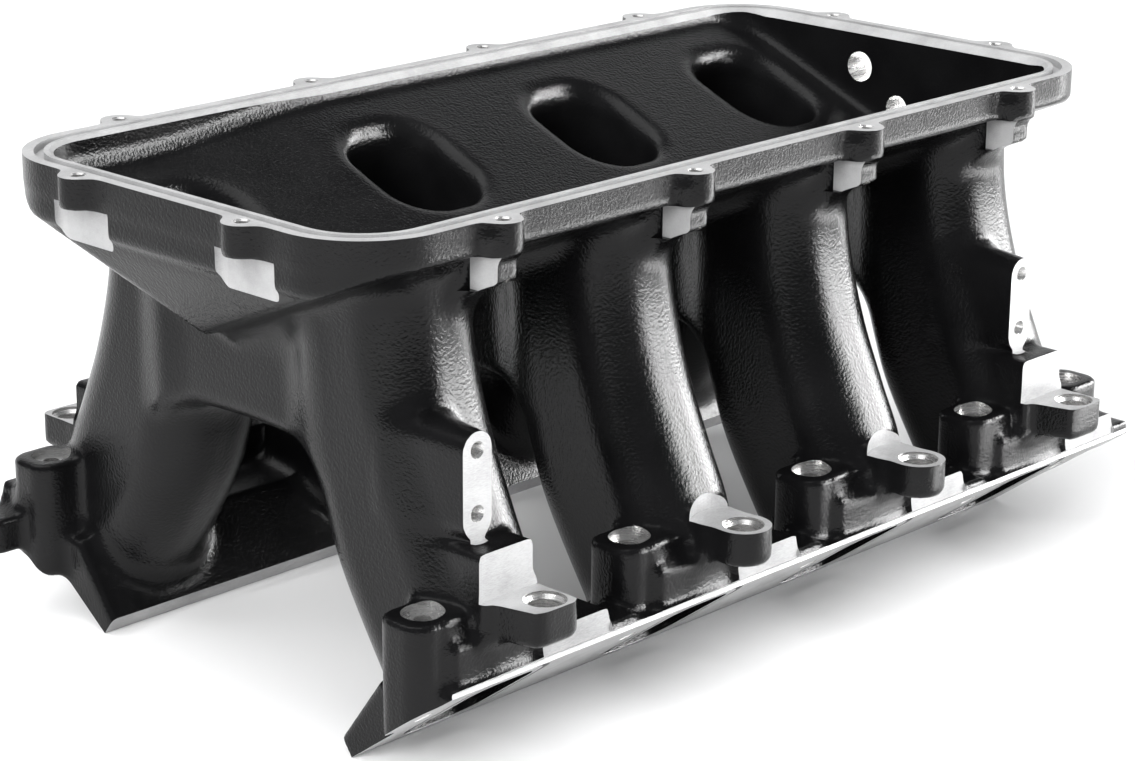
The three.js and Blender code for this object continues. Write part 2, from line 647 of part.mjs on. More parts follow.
addPart('rim_flange', rimFlange(), castBlack);
addPart('plenum_tray', plenumTray(), castBlack);
addPair('runner', CYLINDERS, runner, castBlack);
for (let i = 0; i < CYLINDERS; i += 1) {
  addPart(`centre_web_${i + 1}`, centreWeb(i), castBlack);
}
const flange = headFlange();
addPart('head_flange_left', flange, castBlack);
addPart('head_flange_right', turnHalf(flange), castBlack);
addPair('bolt_boss', boltXs.length, boltBoss, castBlack);
addPair('injector_boss', CYLINDERS, injectorBoss, castBlack);
addPair('rail_stand', STAND_CYLINDERS.length, railStand, castBlack);
addPair('port_seal', CYLINDERS, portSeal, sealRubber);

export default group;
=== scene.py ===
import json
import math
import bmesh
import bpy
import numpy as np
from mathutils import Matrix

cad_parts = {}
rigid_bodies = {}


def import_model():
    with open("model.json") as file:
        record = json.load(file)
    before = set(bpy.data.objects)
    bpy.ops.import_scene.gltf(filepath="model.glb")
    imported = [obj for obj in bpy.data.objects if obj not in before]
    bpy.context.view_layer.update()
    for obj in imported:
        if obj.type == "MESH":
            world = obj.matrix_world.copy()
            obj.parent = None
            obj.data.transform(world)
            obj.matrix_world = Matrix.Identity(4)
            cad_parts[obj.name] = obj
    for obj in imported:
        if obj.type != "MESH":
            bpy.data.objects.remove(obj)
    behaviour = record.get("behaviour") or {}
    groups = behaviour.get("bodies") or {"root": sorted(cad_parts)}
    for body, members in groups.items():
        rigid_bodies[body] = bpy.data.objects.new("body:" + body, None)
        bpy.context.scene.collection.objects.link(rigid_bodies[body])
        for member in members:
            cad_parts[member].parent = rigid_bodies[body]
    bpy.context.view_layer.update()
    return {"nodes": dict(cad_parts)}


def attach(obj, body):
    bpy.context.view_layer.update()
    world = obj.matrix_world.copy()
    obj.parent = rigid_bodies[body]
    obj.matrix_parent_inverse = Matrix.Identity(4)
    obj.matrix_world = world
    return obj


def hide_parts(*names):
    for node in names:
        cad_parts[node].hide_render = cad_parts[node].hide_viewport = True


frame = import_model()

import openvdb
from mathutils import Matrix

# ---------------------------------------------------------------- dimensions, millimetres
# x runs to the rear, y to the right bank and z up. On the left bank, "out" is the distance from the middle
# plane and "depth" the distance below the rim face. The right bank is the left one turned half round.
H = 209.4  # rim face above the lowest edge of the flanges
PITCH = 111.76  # from one cylinder to the next
PORTS = [-172.2 + PITCH * i for i in range(4)]
BOLTS = [-206.5 + PITCH * i for i in range(4)] + [196.5]

RIM_X = 228.4  # half the rim's length
RIM_Y = 110.6
RIM_R = 38.0
RIM_DEPTH = 13.0
WALL = 12.0
GROOVE_IN = 4.2  # O-ring groove, in from the rim's edge
GROOVE_WIDTH = 4.0
GROOVE_DEPTH = 3.0
LUG_R = 7.7
LUG_HOLE = 2.75
LUG_BLEND = 7
LONG_LUGS = [-158.7 + 105.8 * i for i in range(4)]
LONG_LUG_Y = 113.2
END_LUGS_Y = [-48.7, 48.7]
END_LUG_X = 229.3

KEEL = 59.0  # depth of the tray's outside on the middle plane
FLOOR = 52.5  # depth of its inside there
RISE = 0.42  # of the tray's sides, per unit outwards
SKIRT = 25.0  # depth of the front wall's lower edge
REAR_SKIRT = 50.0

SLOPE = math.radians(36.5)  # head face from horizontal
FACE_Y = 82.6  # out to the lowest edge of the face
FLANGE_THICK = 8.7
FLANGE_EDGE = 69.0  # outer edge, along the slope
FLANGE_X = (-209.9, 200.0)
PORT_MIDDLE = 37.0  # along the slope
PORT_HALF_X = 16.0
PORT_HALF_SLOPE = 25.0
PORT_R = 9.0
SEAL_GROOVE = (3.5, 6.5, 3.0)  # inner and outer edge beyond the port, depth

RUNNER_W = 54.0
RUNNER_R = 24.0
BOSS_HALF = 14.0
BOSS_IN = 107.0
BOSS_OUT = 132.0
BOLT_Y = 119.4
BOLT_TOP = 140.0  # depth of the bosses' tops
BOLT_HOLE = 3.5
BOLT_SEAT = 8.4
BOLT_SEAT_DEPTH = 2.5
INJ_Y = 148.9
INJ_TOP = 136.0  # depth of the injector pads
PAD_THICK = 15.0
EAR = (7.0, 44.0)  # of the flange beside each port, from the port's middle

RAIL_STANDS = (0, 3)  # the cylinders that have one
STAND_Y = 126.3
STAND_TOP = 73.0
STAND_LOW = 114.5
STAND_HALF = 7.4
STAND_SHIFT = -12.7
STAND_HOLES = (80.2, 105.0)
REAR_PORTS = ((19.6, 18.9, 7.6), (-3.5, 35.6, 6.4))  # y, depth, radius

FAR = 400  # further out than any part of the casting
CAST, BRIGHT, BORE, SEAM = 0, 1, 2, 3  # material numbers

VOXEL = 1.7


def face_at(slope, lift):
    """(out, depth) of a point on the head face, lifted off it into the casting."""
    c, s = math.cos(SLOPE), math.sin(SLOPE)
    return FACE_Y + slope * c - lift * s, H - slope * s - lift * c


# ---------------------------------------------------------------- distance fields
def axis_points(half):
    """Grid points of an axis, the same on both sides of 0."""
    n = int(math.ceil(half / VOXEL))
    return (np.arange(-n, n + 1) * VOXEL).astype(np.float32)


XS, YS = axis_points(246), axis_points(170)
ZS = np.arange(-12, H + 9, VOXEL).astype(np.float32)
OUT = -YS[:, None]
DEPTH = H - ZS[None, :]


def blend_min(a, b, k):
    """Union of two fields with a fillet of size k."""
    h = np.maximum(k - np.abs(a - b), 0) / k
    return np.minimum(a, b) - h * h * k * 0.25


def blend_max(a, b, k):
    return -blend_min(-a, -b, k)


def edge(a, b, r):
    """Intersection of two fields with a rounded edge."""
    u, v = np.maximum(a + r, 0), np.maximum(b + r, 0)
    return np.sqrt(u * u + v * v) + np.minimum(np.maximum(a, b) + r, 0) - r


def outline_field(px, py, points):
    """Signed distance to a closed outline, negative inside."""
    shape = np.broadcast(px, py).shape
    best = np.full(shape, 1e9, np.float32)
    inside = np.zeros(shape, bool)
    for (ax, ay), (bx, by) in zip(points, points[1:] + points[:1]):
        ex, ey = bx - ax, by - ay
        wx, wy = px - ax, py - ay
        t = np.clip((wx * ex + wy * ey) / (ex * ex + ey * ey), 0, 1)
        best = np.minimum(best, (wx - ex * t) ** 2 + (wy - ey * t) ** 2)
        if abs(ey) > 1e-9:
            inside ^= ((ay > py) != (by > py)) & (px < ex * (py - ay) / ey + ax)
    return np.where(inside, -1, 1).astype(np.float32) * np.sqrt(best)


def box_field(px, py, hx, hy, r):
    """Signed distance to a rectangle about the origin, with rounded corners."""
    qx, qy = np.abs(px) - (hx - r), np.abs(py) - (hy - r)
    outside = np.sqrt(np.maximum(qx, 0) ** 2 + np.maximum(qy, 0) ** 2)
    return outside + np.minimum(np.maximum(qx, qy), 0) - r


def curve_through(points, steps=6):
    """Catmull-Rom curve through the points."""
    pts = [np.array(p, float) for p in points]
    pts = [2 * pts[0] - pts[1]] + pts + [2 * pts[-1] - pts[-2]]
    out = []
    for a, b, c, d in zip(pts, pts[1:], pts[2:], pts[3:]):
        for k in range(steps):
            t = k / steps
            out.append(0.5 * (2 * b + (c - a) * t + (2 * a - 5 * b + 4 * c - d) * t ** 2
                              + (3 * b - a - 3 * c + d) * t ** 3))
    out.append(pts[-2])
    return [tuple(p) for p in out]


def span(values, low, high, margin=16):
    """Slice of an axis that covers low to high with a margin."""
    a = int(np.searchsorted(values, low - margin))
    b = int(np.searchsorted(values, high + margin))
    return slice(max(a, 0), min(b, len(values)))


def add_along_x(field, section, low, high, r, k):
    """Joins a bar with that (y, z) section to the field."""
    s = span(XS, low, high)
    across = np.abs(XS[s] - (low + high) / 2) - (high - low) / 2
    bar = edge(section[None], across[:, None, None], r)
    field[s] = blend_min(field[s], bar, k)


def add_upright(field, plan, low, high, r, k):
    """Joins a column with that (x, y) plan to the field; low and high are heights."""
    up = np.abs(ZS - (low + high) / 2) - (high - low) / 2
    s = span(ZS, low, high)
    column = edge(plan[:, :, None], up[None, None, s], r)
    field[:, :, s] = blend_min(field[:, :, s], column, k)


# ---------------------------------------------------------------- the tray's outside
plan = box_field(XS[:, None], YS[None], RIM_X, RIM_Y, RIM_R)
side = RIM_Y + 20


def keel_section(drop):
    """The tray's V section, its lowest line that far below the rim."""
    low = H - drop
    high = low + side * RISE
    return outline_field(YS[:, None], ZS[None], [
        (0, low), (side, high), (side, H + 40), (-side, H + 40), (-side, high)])


reach = RIM_X + 30
bow = outline_field(XS[:, None], ZS[None], [
    (-reach, H + 40), (-reach, H - SKIRT), (-RIM_X + 2, H - SKIRT), (-209, H - KEEL - 2),
    (224, H - KEEL - 2), (RIM_X - 2, H - REAR_SKIRT), (reach, H - REAR_SKIRT), (reach, H + 40)])
plenum = edge(edge(plan[:, :, None], keel_section(KEEL)[None], 3), bow[:, None, :], 4)

lug_plan = plan.copy()
for y_side in (-1, 1):
    for x in LONG_LUGS:
        circle = np.hypot(XS[:, None] - x, YS[None] - y_side * LONG_LUG_Y) - LUG_R
        lug_plan = blend_min(lug_plan, circle, LUG_BLEND)
    for y in END_LUGS_Y:
        circle = np.hypot(XS[:, None] - y_side * END_LUG_X, YS[None] - y) - LUG_R
        lug_plan = blend_min(lug_plan, circle, LUG_BLEND)
body = plenum
add_upright(body, lug_plan, H - RIM_DEPTH, H + 40, 1.6, 1.5)
for y_side in (-1, 1):
    # a web under each long-side lug
    out = RIM_Y + 5.4
    web = outline_field(y_side * YS[:, None], DEPTH, [
        (86, 5), (out, 5), (out, 23.5), (86, 23.5 + (out - 86) * RISE)])
    for x in LONG_LUGS:
        middle = x + y_side * 1.2
        add_along_x(body, web, middle - 6.8, middle + 6.8, 1.5, 5)

# ---------------------------------------------------------------- the left bank's outside
# runners
bank = np.full(body.shape, 60, np.float32)
inner_wall = [(26, 12), (34.5, 58), (37.5, 98), (46, 129), (58, 155), face_at(9, 0), face_at(9, -12)]
outer_wall = [(96, 12), (98, 50), (107, 84), (119, 112), (130, 136), face_at(68, 0), face_at(68, -12)]
runner = outline_field(OUT, DEPTH, curve_through(inner_wall) + curve_through(outer_wall)[::-1])
for x in PORTS:
    add_along_x(bank, runner, x - RUNNER_W / 2, x + RUNNER_W / 2, RUNNER_R, 1)

# flange, with a raised ear and a saddle beside each port
flange = outline_field(OUT, DEPTH, [
    face_at(-3, -12), face_at(-3, FLANGE_THICK), (98, 173), (134, 167), face_at(72, 0), face_at(72, -12)])
add_along_x(bank, flange, *FLANGE_X, 3, 9)
ear = outline_field(OUT, DEPTH, [(122, 154.5), (142, 154.5), (142, 180), (122, 180)])
saddle = outline_field(OUT, DEPTH, [(120, 163), (138, 163), (138, 178), (120, 178)])
for x in PORTS:
    add_along_x(bank, ear, x + EAR[0], x + EAR[1], 2, 5)
    add_along_x(bank, saddle, x + EAR[1] - 6, x + EAR[1] + 20, 5, 8)


def left_plan(points):
    """Signed distance, in plan, to an outline of (x, out) points."""
    return outline_field(XS[:, None], -YS[None], points)


# bolt bosses
for x in BOLTS:
    boss = box_field(XS[:, None] - x, -YS[None] - (BOSS_IN + BOSS_OUT) / 2,
                     BOSS_HALF, (BOSS_OUT - BOSS_IN) / 2, 9)
    add_upright(bank, boss, 20, H - BOLT_TOP, 1.6, 5)

# injector pads: square ones at the bank's ends, round ones between, each tied to its bolt boss
for i, x in enumerate(PORTS):
    link = left_plan([(x - 34, 112), (x - 34, BOSS_OUT - 0.6), (x - 12, BOSS_OUT - 0.6), (x - 12, 112)])
    add_upright(bank, link, 20, H - BOLT_TOP - 1.5, 2, 5)
    if i in RAIL_STANDS:
        pad = left_plan([
            (x - 19, 112), (x - 19, 133.5), (x - 12.9, 157.4), (x - 8, 158.6), (x + 6, 158.6),
            (x + 9.2, 156.5), (x + 9.2, 112)])
        wall = left_plan([(x - 21, 112), (x - 21, 138), (x + 7, 138), (x + 7, 112)])
        add_upright(bank, wall, H - 152, H - 117, 2.5, 4)
    else:
        nose = np.hypot(XS[:, None] - x, -YS[None] - INJ_Y) - 11.4
        root = left_plan([
            (x - 13, 112), (x - 12.2, 137), (x - 9.8, INJ_Y), (x + 10.6, INJ_Y), (x + 11.4, 112)])
        pad = blend_min(nose, root, 2)
    add_upright(bank, pad, H - INJ_TOP - PAD_THICK, H - INJ_TOP + 4, 3.5, 4)
    stem = left_plan([(x - 33, 112), (x - 33, 135.5), (x - 14, 137.5), (x + 5, 137.5), (x + 5, 112)])
    add_upright(bank, stem, 30, H - 150, 3, 6)

# fuel-rail stands, wider towards their roots
for i in RAIL_STANDS:
    x = PORTS[i] + STAND_SHIFT
    middle = H - (STAND_TOP + STAND_LOW) / 2
    half = (STAND_LOW - STAND_TOP) / 2
    face = box_field(XS[:, None] - x, ZS[None] - middle, STAND_HALF, half, STAND_HALF - 0.1)
    away = np.clip((STAND_Y + YS) * 0.10, 0, 4)[None, :, None]
    depth_in = np.abs(-YS - 108) - 20
    stand = edge(face[:, None, :] - away, depth_in[None, :, None], 0.8)
    s = span(XS, x - 14, x + 14)
    bank[s] = blend_min(bank[s], stand[s], 6)

body = blend_min(body, bank, 13)
body = blend_min(body, bank[::-1, ::-1], 13)

# a web with an arch under it between each pair of opposite runners
arch = [(-52, H - 30)] + [(y, H - 98 - 4 * (y / 52) ** 2) for y in range(-52, 53, 8)] + [(52, H - 30)]
arch_section = outline_field(YS[:, None], ZS[None], arch)
for i in range(4):
    middle = (PORTS[i] - PORTS[3 - i]) / 2
    add_along_x(body, arch_section, middle - 24, middle + 24, 8, 16)
del bank, plenum

# ---------------------------------------------------------------- the plenum and the passages inside
inside = RIM_X - WALL
# the floor meets the long walls lower at the front than at the rear
t = np.clip((XS + 165) / 110, 0, 1)
t = (t * t * (3 - 2 * t))[:, None, None]
floor_field = (1 - t) * keel_section(FLOOR + 2.5)[None] + t * keel_section(FLOOR - 6)[None]
plan_in = box_field(XS[:, None], YS[None], inside, RIM_Y - WALL, RIM_R - WALL)
hollow = edge(plan_in[:, :, None], floor_field, 6)
bow_in = outline_field(XS[:, None], ZS[None], [
    (-inside - 1, H + 40), (-inside - 1, H - SKIRT + 5), (-inside + 15, H - FLOOR - 4),
    (inside - 3, H - FLOOR - 4), (inside + 1, H - REAR_SKIRT + 5), (inside + 1, H + 40)])
hollow = edge(hollow, bow_in[:, None, :], 8)
passage_in = [(20, 14), (26, 62), (44, 97), (54, 130), face_at(12, FLANGE_THICK), face_at(12, -14)]
passage_out = [(75, -2), (78, 32), (98, 84), (110, 113), face_at(62, FLANGE_THICK), face_at(62, -14)]
passage = outline_field(OUT, DEPTH, curve_through(passage_in) + curve_through(passage_out)[::-1])
half_width = np.interp(
    DEPTH[0], [0, 30, 60, 130, 185, 230], [24.5, 22.5, 21, 19.5, PORT_HALF_X, PORT_HALF_X],
).astype(np.float32)
corner = np.interp(DEPTH[0], [0, 130, 185, 230], [19, 16, PORT_R, PORT_R]).astype(np.float32)
ways = np.full(body.shape, 60, np.float32)
for x in PORTS:
    s = span(XS, x - 26, x + 26)
    across = np.abs(XS[s] - x)[:, None, None] - half_width[None, None]
    ways[s] = edge(passage[None], across, corner[None, None])
hollow = blend_min(hollow, np.minimum(ways, ways[::-1, ::-1]), 9)
body = blend_max(body, -hollow, 2.5)
del ways, hollow
body = np.ascontiguousarray(body.astype(np.float32))

# ---------------------------------------------------------------- the field's surface
grid = openvdb.FloatGrid(background=4.0)
grid.copyFromArray(np.clip(body, -6, 6))
points, quads = grid.convertToQuads(isovalue=0.0)
START = np.array([XS[0], YS[0], ZS[0]], np.float64)
points = points * VOXEL + START


def sample(p):
    """The body's field at points in millimetres, between grid points by straight lines."""
    q = np.clip((p - START) / VOXEL, 0, np.array(body.shape) - 1.001)
    i = q.astype(int)
    f = (q - i).astype(np.float32)
    total = 0
    for dx in (0, 1):
        for dy in (0, 1):
            for dz in (0, 1):
                w = np.abs(1 - dx - f[:, 0]) * np.abs(1 - dy - f[:, 1]) * np.abs(1 - dz - f[:, 2])
                total = total + w * body[i[:, 0] + dx, i[:, 1] + dy, i[:, 2] + dz]
    return total


def gradient(p):
    """Unit slope of the field at points in millimetres, which points out of the body."""
    out = np.empty((len(p), 3))
    for a in range(3):
        shift = np.zeros(3)
        shift[a] = VOXEL
        out[:, a] = sample(p + shift) - sample(p - shift)
    return out / np.maximum(np.linalg.norm(out, axis=1, keepdims=True), 1e-9)


# ---------------------------------------------------------------- materials
def material(name):
    """A new material with its node tree, shader and texture coordinates."""
    m = bpy.data.materials.new(name)
    m.use_nodes = True
    tree = m.node_tree
    shader = tree.nodes["Principled BSDF"]
    coords = tree.nodes.new("ShaderNodeTexCoord")
    return m, tree, shader, coords


def noise(tree, vector, scale, detail=2.0, rough=0.5):
    n = tree.nodes.new("ShaderNodeTexNoise")
    n.inputs["Scale"].default_value = scale
    n.inputs["Detail"].default_value = detail
    n.inputs["Roughness"].default_value = rough
    tree.links.new(vector, n.inputs["Vector"])
    return n.outputs["Fac"]


def remap(tree, value, low, high, out_low, out_high):
    n = tree.nodes.new("ShaderNodeMapRange")
    for key, v in zip(("From Min", "From Max", "To Min", "To Max"), (low, high, out_low, out_high)):
        n.inputs[key].default_value = v
    tree.links.new(value, n.inputs["Value"])
    return n.outputs["Result"]


def bump(tree, height, distance, strength=1.0, normal=None):
    n = tree.nodes.new("ShaderNodeBump")
    n.inputs["Distance"].default_value = distance
    n.inputs["Strength"].default_value = strength
    tree.links.new(height, n.inputs["Height"])
    if normal is not None:
        tree.links.new(normal, n.inputs["Normal"])
    return n.outputs["Normal"]


def math_node(tree, kind, a, b):
    n = tree.nodes.new("ShaderNodeMath")
    n.operation = kind
    for socket, v in zip(n.inputs, (a, b)):
        if isinstance(v, (int, float)):
            socket.default_value = v
        else:
            tree.links.new(v, socket)
    return n.outputs[0]


def mixed(tree, factor, first, second):
    """Colour between two by the factor."""
    n = tree.nodes.new("ShaderNodeMix")
    n.data_type = "RGBA"
    n.inputs["A"].default_value = (*first, 1)
    n.inputs["B"].default_value = (*second, 1)
    tree.links.new(factor, n.inputs["Factor"])
    return n.outputs["Result"]


def cast_material():
    m, tree, shader, coords = material("black_powder_coat")
    at = coords.outputs["Object"]
    shader.inputs["Metallic"].default_value = 0.0
    shader.inputs["IOR"].default_value = 1.28
    fine = noise(tree, at, 2100, 2.0, 0.6)
    pebble = noise(tree, at, 820, 2.0, 0.5)
    broad = noise(tree, at, 34, 3.0, 0.5)
    tone = remap(tree, broad, 0.3, 0.7, 0, 1)
    colour = mixed(tree, tone, (0.0028, 0.0028, 0.003), (0.0055, 0.0055, 0.0058))
    tree.links.new(colour, shader.inputs["Base Color"])
    uneven = math_node(tree, "ADD", broad, math_node(tree, "MULTIPLY", pebble, 0.6))
    tree.links.new(remap(tree, uneven, 0.5, 1.1, 0.15, 0.25), shader.inputs["Roughness"])
    first = bump(tree, pebble, 0.00022)
    tree.links.new(bump(tree, fine, 0.00004, 1.0, first), shader.inputs["Normal"])
    return m


def machined_material(name, stretch, colour, low, high, metal):
    """Bare metal with cutter marks; low and high are the limits of its roughness."""
    m, tree, shader, coords = material(name)
    mapping = tree.nodes.new("ShaderNodeMapping")
    mapping.inputs["Scale"].default_value = stretch
    tree.links.new(coords.outputs["Object"], mapping.inputs["Vector"])
    marks = noise(tree, mapping.outputs["Vector"], 60, 3.0, 0.7)
    patches = noise(tree, coords.outputs["Object"], 48, 3.0, 0.6)
    scratch = noise(tree, mapping.outputs["Vector"], 260, 2.0, 0.7)
    shader.inputs["Metallic"].default_value = metal
    worn = math_node(tree, "ADD", patches, math_node(tree, "MULTIPLY", scratch, 0.8))
    darker = [c * 0.66 for c in colour]
    tone = mixed(tree, remap(tree, worn, 0.62, 1.05, 0, 1), darker, colour)
    tree.links.new(tone, shader.inputs["Base Color"])
    tree.links.new(remap(tree, marks, 0.3, 0.7, low, high), shader.inputs["Roughness"])
    tree.links.new(bump(tree, marks, 0.00006), shader.inputs["Normal"])
    return m


def rubber_material():
    m, tree, shader, coords = material("seal_rubber")
    grain = noise(tree, coords.outputs["Object"], 500, 2.0, 0.5)
    shader.inputs["Base Color"].default_value = (0.018, 0.018, 0.019, 1)
    tree.links.new(remap(tree, grain, 0.3, 0.7, 0.5, 0.68), shader.inputs["Roughness"])
    tree.links.new(bump(tree, grain, 0.0001), shader.inputs["Normal"])
    return m


CAST_M = cast_material()
BRIGHT_M = machined_material("machined_face", (2, 14, 14), (0.4, 0.4, 0.403), 0.48, 0.58, 0.2)
BORE_M = machined_material("machined_bore", (1.5, 1.5, 20), (0.72, 0.715, 0.71), 0.2, 0.34, 0.9)
RUBBER_M = rubber_material()
SLOTS = [CAST_M, BRIGHT_M, BORE_M, CAST_M]


# ---------------------------------------------------------------- cutters
class Tool:
    """Closed shapes collected into one cutter, each face with a material number."""

    def __init__(self):
        self.verts, self.faces, self.mats = [], [], []

    def shape(self, verts, faces, mats, both=False):
        for turn in ((1, -1) if both else (1,)):
            base = len(self.verts)
            self.verts += [(x * turn, y * turn, z) for x, y, z in verts]
            self.faces += [[base + i for i in f] for f in faces]
            self.mats += list(mats)

    def prism(self, outline, place, low, high, mats=(BRIGHT, BRIGHT, BRIGHT), both=False):
        """Outline swept from low to high; place(a, b, t) gives the point. mats: sides, low end, high end."""
        n = len(outline)
        verts = [place(a, b, low) for a, b in outline] + [place(a, b, high) for a, b in outline]
        faces = [[i, (i + 1) % n, n + (i + 1) % n, n + i] for i in range(n)]
        sides = mats[0] if isinstance(mats[0], (list, tuple)) else [mats[0]] * n
        faces += [list(range(n))[::-1], [n + i for i in range(n)]]
        self.shape(verts, faces, list(sides) + [mats[1], mats[2]], both)

    def ring(self, outer, inner, place, low, high, mat=BRIGHT, both=False):
        """The band between two outlines with the same number of points, swept from low to high."""
        n = len(outer)
        rings = [(outer, low), (outer, high), (inner, high), (inner, low)]
        verts = [place(a, b, t) for outline, t in rings for a, b in outline]
        faces = []
        for k in range(4):
            for i in range(n):
                j = (i + 1) % n
                a = k * n
                b = (k + 1) % 4 * n
                faces.append([a + i, a + j, b + j, b + i])
        self.shape(verts, faces, [mat] * len(faces), both)

    def lathe(self, profile, place, segments=40, mats=BORE, both=False):
        """Profile of (radius, along) turned about its axis; the first and last points are capped."""
        n = segments
        verts, faces, fm = [], [], []
        for r, t in profile:
            for k in range(n):
                a = 2 * math.pi * k / n
                verts.append(place(r * math.cos(a), r * math.sin(a), t))
        levels = mats if isinstance(mats, (list, tuple)) else [mats] * (len(profile) - 1)
        for m in range(len(profile) - 1):
            for k in range(n):
                j = (k + 1) % n
                faces.append([m * n + k, m * n + j, (m + 1) * n + j, (m + 1) * n + k])
                fm.append(levels[m])
        faces += [list(range(n))[::-1], [(len(profile) - 1) * n + k for k in range(n)]]
        self.shape(verts, faces, fm + [levels[0], levels[-1]], both)

    def object(self):
        mesh = bpy.data.meshes.new("cutter")
        mesh.from_pydata([(x / 1000, y / 1000, z / 1000) for x, y, z in self.verts], [], self.faces)
        mesh.polygons.foreach_set("material_index", self.mats)
        for m in SLOTS:
            mesh.materials.append(m)
        bm = bmesh.new()
        bm.from_mesh(mesh)
        bmesh.ops.recalc_face_normals(bm, faces=bm.faces)
        bm.to_mesh(mesh)
        bm.free()
        obj = bpy.data.objects.new("cutter", mesh)
        bpy.context.scene.collection.objects.link(obj)
        return obj


def along_x(a, b, t):
    return t, a, b


def along_z(a, b, t):
    return a, b, t


def section(points):
    """(out, depth) points of the left bank as (y, z)."""
    return [(-out, H - depth) for out, depth in points]


def frustum(tool, low_outline, low, high_outline, high, mat=BRIGHT):
    """A closed shape between two level outlines with the same number of points."""
    n = len(low_outline)
    verts = [(x, y, low) for x, y in low_outline] + [(x, y, high) for x, y in high_outline]
    faces = [[i, (i + 1) % n, n + (i + 1) % n, n + i] for i in range(n)]
    tool.shape(verts, faces + [list(range(n))[::-1], [n + i for i in range(n)]], [mat] * (n + 2))


def rect(a0, a1, b0, b1):
    """Outline of a rectangle between those limits."""
    return [(a0, b0), (a1, b0), (a1, b1), (a0, b1)]


def rounded(hx, hy, r, steps=8):
    """Outline of a rectangle about the origin, with rounded corners."""
    out = []
    for sx, sy, start in ((1, 1, 0), (-1, 1, 90), (-1, -1, 180), (1, -1, 270)):
        for k in range(steps + 1):
            a = math.radians(start + 90 * k / steps)
            out.append((sx * (hx - r) + r * math.cos(a), sy * (hy - r) + r * math.sin(a)))
    return out


def solve(target, cutter, operation):
    """The mesh that a boolean with the cutter leaves of the target."""
    mod = target.modifiers.new("cut", "BOOLEAN")
    mod.operation = operation
    mod.object = cutter
    mod.solver = "MANIFOLD"
    graph = bpy.context.evaluated_depsgraph_get()
    mesh = bpy.data.meshes.new_from_object(target.evaluated_get(graph))
    target.modifiers.remove(mod)
    return mesh


def cut(target, tool):
    """Machines the tool's shapes out of the target."""
    cutter = tool.object()
    mesh = solve(target, cutter, "DIFFERENCE")
    old = target.data
    target.data = mesh
    bpy.data.meshes.remove(old)
    bpy.data.objects.remove(cutter)


def split_off(target, tool, name):
    """Takes the part inside the tool off the target, as a new object."""
    cutter = tool.object()
    piece = bpy.data.objects.new(name, solve(target, cutter, "INTERSECT"))
    bpy.context.scene.collection.objects.link(piece)
    rest = solve(target, cutter, "DIFFERENCE")
    old = target.data
    target.data = rest
    bpy.data.meshes.remove(old)
    bpy.data.objects.remove(cutter)
    return piece


mesh = bpy.data.meshes.new("casting")
mesh.from_pydata((points / 1000).tolist(), [], quads.tolist())
for m in SLOTS:
    mesh.materials.append(m)
casting = bpy.data.objects.new("casting", mesh)
bpy.context.scene.collection.objects.link(casting)

# ---------------------------------------------------------------- machining
# shapes that overlap go into separate tools
# rim face and head faces
first = Tool()
first.prism(rect(-FAR, FAR, -FAR, FAR), along_z, H, H + 60)
face_slab = section([face_at(-56, 0), face_at(135, 0), face_at(135, -60), face_at(-56, -60)])
first.prism(face_slab, along_x, -FAR, FAR, both=True)
cut(casting, first)

# bevel on the rim's inner edge
bevel = Tool()
below, above = [
    rounded(RIM_X - WALL + grow, RIM_Y - WALL + grow, RIM_R - WALL + grow, 14) for grow in (-1.5, 2.5)]
frustum(bevel, below, H - 3, above, H + 1)
cut(casting, bevel)

# the flanges' inner and outer edges
edges = Tool()
inner_edge = section([face_at(-30, -6), face_at(0, -6), face_at(0, 9.6), face_at(-30, 9.6)])
edges.prism(inner_edge, along_x, -FAR, FAR, both=True)
outer_edge = section([face_at(FLANGE_EDGE, -6), face_at(FLANGE_EDGE, 1.8), face_at(95, 1.8), face_at(95, -6)])
edges.prism(outer_edge, along_x, -FAR, FAR, both=True)
cut(casting, edges)

# O-ring groove, lug holes, and the reliefs beside the lugs' webs
tops = Tool()
groove_outer, groove_inner = [
    rounded(RIM_X - back, RIM_Y - back, RIM_R - back, 14) for back in (GROOVE_IN, GROOVE_IN + GROOVE_WIDTH)]
tops.ring(groove_outer, groove_inner, along_z, H - GROOVE_DEPTH, H + 5)
for y_side in (-1, 1):
    lugs = [(x, y_side * LONG_LUG_Y, -24) for x in LONG_LUGS]
    lugs += [(y_side * END_LUG_X, y, -14.5) for y in END_LUGS_Y]
    for lx, ly, low in lugs:
        profile = [(LUG_HOLE, low), (LUG_HOLE, -0.7), (LUG_HOLE + 0.8, 0.1), (LUG_HOLE + 0.8, 6)]
        tops.lathe(profile, lambda a, b, t: (lx + a, ly + b, H + t), 28)
for x in LONG_LUGS:
    # the relief's one machined wall is the web's side
    relief = [
        (x - 29, -140), (x - 5.6, -140), (x - 5.6, -101.5), (x - 9, -100), (x - 22, -100), (x - 29, -106)]
    walls = [CAST, BRIGHT, CAST, CAST, CAST, CAST]
    tops.prism(relief, along_z, H - 28, H - RIM_DEPTH, (walls, CAST, CAST), both=True)
cut(casting, tops)

# a milled pocket in the end wall under each end lug, open below
pockets = Tool()
slot = rounded(16.8, 12, 3.6, 6)
for y in END_LUGS_Y:
    for x_side in (-1, 1):
        pockets.prism(slot, lambda a, b, t: (x_side * (RIM_X + 8 + b), y + a, t), H - 55, H - RIM_DEPTH)
cut(casting, pockets)

